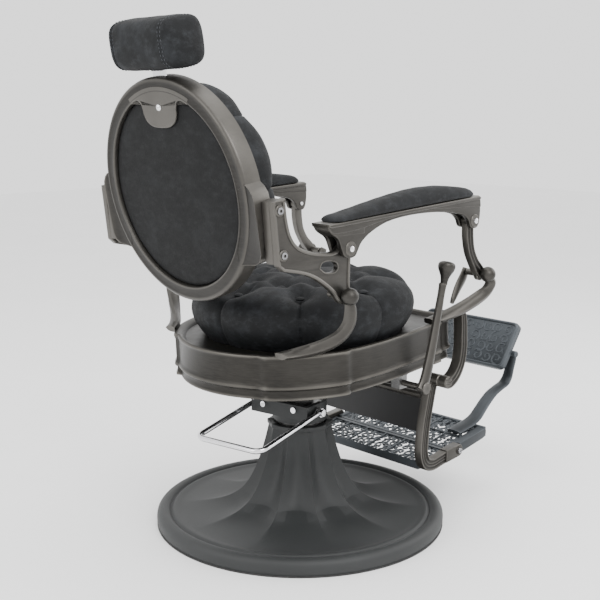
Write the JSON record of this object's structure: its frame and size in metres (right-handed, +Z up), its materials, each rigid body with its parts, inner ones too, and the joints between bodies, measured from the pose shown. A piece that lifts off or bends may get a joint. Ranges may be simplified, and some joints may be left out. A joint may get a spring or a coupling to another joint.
{
  "type": "hydraulic barber chair",
  "caption": "Hydraulic barber chair with a round tufted seat, reclining round back, sliding headrest, linked armrests, leg rest with folding foot step, foot pump and fluted pedestal.",
  "frame": {"origin": "centre of the pedestal's flat underside, on the floor, on the column's axis", "axes": "+Z up along the column; -Y is the way the sitter faces; the sitter's right hand is towards -X"},
  "size_m": [0.6999, 1.1489, 1.1793],
  "materials": {
    "base_paint": "matte dark grey powder coat",
    "antique_metal": "antique brushed gunmetal",
    "step_metal": "dark antique cast",
    "machined_steel": "machined",
    "chrome": "polished",
    "bronze": "turned",
    "rubber": "moulded",
    "leather": "nubuck",
    "rear_leather": "nubuck panel",
    "plywood": "plain"
  },
  "bodies": {
    "root": {"base_cover": "base_paint", "base_plate": "base_paint", "base_hub": "base_paint", "hub_screws": "machined_steel", "floor_ring": "rubber", "thrust_washer": "bronze", "hub_bush": "bronze"},
    "pump": {"pump_cylinder": "machined_steel", "pump_neck": "machined_steel", "gland_nut": "machined_steel", "pump_yoke": "machined_steel", "yoke_bolts": "chrome", "pedal_pins": "chrome", "oil_plug": "chrome"},
    "pedal": {"pump_pedal": "chrome"},
    "brake": {"brake_loop": "chrome"},
    "seat": {"seat_frame": "antique_metal", "seat_pan": "machined_steel", "seat_cushion": "leather", "seat_mount": "machined_steel", "lift_ram": "machined_steel", "ram_piston": "bronze", "rear_horns": "antique_metal", "rear_pivots": "antique_metal", "front_horns": "antique_metal", "front_scrolls": "antique_metal", "leg_pins": "chrome", "recline_lock": "machined_steel", "shaft_bearing": "machined_steel"},
    "back": {"back_frame": "antique_metal", "headrest_clamp": "machined_steel", "clamp_screw": "chrome", "back_panel": "rear_leather", "back_board": "plywood", "back_cushion": "leather", "back_bracket_right": "antique_metal", "back_bracket_left": "antique_metal", "bracket_screws": "chrome"},
    "head_post": {"headrest_post": "chrome"},
    "headrest": {"headrest_bracket": "machined_steel", "headrest_pad": "leather"},
    "armrest_right": {"armrest_beam_right": "antique_metal", "armrest_pins_right": "chrome", "armrest_pad_right": "leather"},
    "armrest_left": {"armrest_beam_left": "antique_metal", "armrest_pins_left": "chrome", "armrest_pad_left": "leather"},
    "link_right": {"front_link_right": "antique_metal"},
    "link_left": {"front_link_left": "antique_metal"},
    "leg_rest": {"leg_bars": "antique_metal", "fold_bolts": "chrome", "leg_crossbar": "machined_steel", "calf_board": "plywood", "calf_pad": "leather", "foot_grate": "step_metal"},
    "step": {"foot_step": "step_metal", "step_arms": "step_metal"},
    "foot_plate": {"foot_plate": "step_metal"},
    "lever": {"recline_shaft": "machined_steel", "recline_lever": "antique_metal"}
  },
  "joints": [
    {"name": "seat_swivel", "type": "hinge", "parent": "root", "child": "pump", "pos_m": [0, 0, 0.28], "axis": [0, 0, 1], "continuous": true},
    {"name": "seat_lift", "type": "slide", "parent": "pump", "child": "seat", "axis": [0, 0, 1], "range_m": [0, 0.15]},
    {"name": "pump_pedal_press", "type": "hinge", "parent": "pump", "child": "pedal", "pos_m": [-0.00834, 0.04727, 0.293], "axis": [-0.9848, -0.1736, 0], "range_deg": [0, 18], "stiffness_Nm_per_rad": 4, "springref_deg": -28.65},
    {"name": "brake_loop_lift", "type": "hinge", "parent": "pump", "child": "brake", "pos_m": [0.04045, 0.10461, 0.32], "axis": [0.1736, -0.9848, 0], "range_deg": [0, 25], "stiffness_Nm_per_rad": 0.3, "springref_deg": -28.65},
    {"name": "back_recline", "type": "hinge", "parent": "seat", "child": "back", "pos_m": [0, 0.155, 0.612], "axis": [-1, 0, 0], "range_deg": [0, 30]},
    {"name": "headrest_height", "type": "slide", "parent": "back", "child": "head_post", "axis": [0, 0.1736, 0.9848], "range_m": [0, 0.08]},
    {"name": "headrest_tilt", "type": "hinge", "parent": "head_post", "child": "headrest", "pos_m": [0, 0.39596, 1.07605], "axis": [-1, 0, 0], "range_deg": [-20, 20]},
    {"name": "armrest_right_hinge", "type": "hinge", "parent": "back", "child": "armrest_right", "pos_m": [0, 0.152, 0.711], "axis": [-1, 0, 0], "range_deg": [-34, 0]},
    {"name": "front_link_right_hinge", "type": "hinge", "parent": "seat", "child": "link_right", "pos_m": [0, -0.314, 0.606], "axis": [-1, 0, 0], "range_deg": [0, 24.5]},
    {"name": "armrest_left_hinge", "type": "hinge", "parent": "back", "child": "armrest_left", "pos_m": [0, 0.152, 0.711], "axis": [-1, 0, 0], "range_deg": [-34, 0]},
    {"name": "front_link_left_hinge", "type": "hinge", "parent": "seat", "child": "link_left", "pos_m": [0, -0.314, 0.606], "axis": [-1, 0, 0], "range_deg": [0, 24.5]},
    {"name": "leg_rest_raise", "type": "hinge", "parent": "seat", "child": "leg_rest", "pos_m": [0, -0.245, 0.345], "axis": [-1, 0, 0], "range_deg": [0, 46]},
    {"name": "foot_step_fold", "type": "hinge", "parent": "leg_rest", "child": "step", "pos_m": [0, -0.345, 0.142], "axis": [-1, 0, 0], "range_deg": [0, 40]},
    {"name": "foot_plate_tilt", "type": "hinge", "parent": "step", "child": "foot_plate", "pos_m": [0, -0.652, 0.33], "axis": [-1, 0, 0], "range_deg": [-12, 12]},
    {"name": "recline_lever_pull", "type": "hinge", "parent": "seat", "child": "lever", "pos_m": [0, -0.118, 0.362], "axis": [-1, 0, 0], "range_deg": [0, 15], "stiffness_Nm_per_rad": 5, "springref_deg": -14.32}
  ],
  "couplings": [
    {"joint": "armrest_right_hinge", "follows": "back_recline", "ratio": -1.1},
    {"joint": "armrest_left_hinge", "follows": "back_recline", "ratio": -1.1},
    {"joint": "front_link_right_hinge", "follows": "back_recline", "ratio": 0.794},
    {"joint": "front_link_left_hinge", "follows": "back_recline", "ratio": 0.794},
    {"joint": "leg_rest_raise", "follows": "back_recline", "ratio": 1.5}
  ]
}
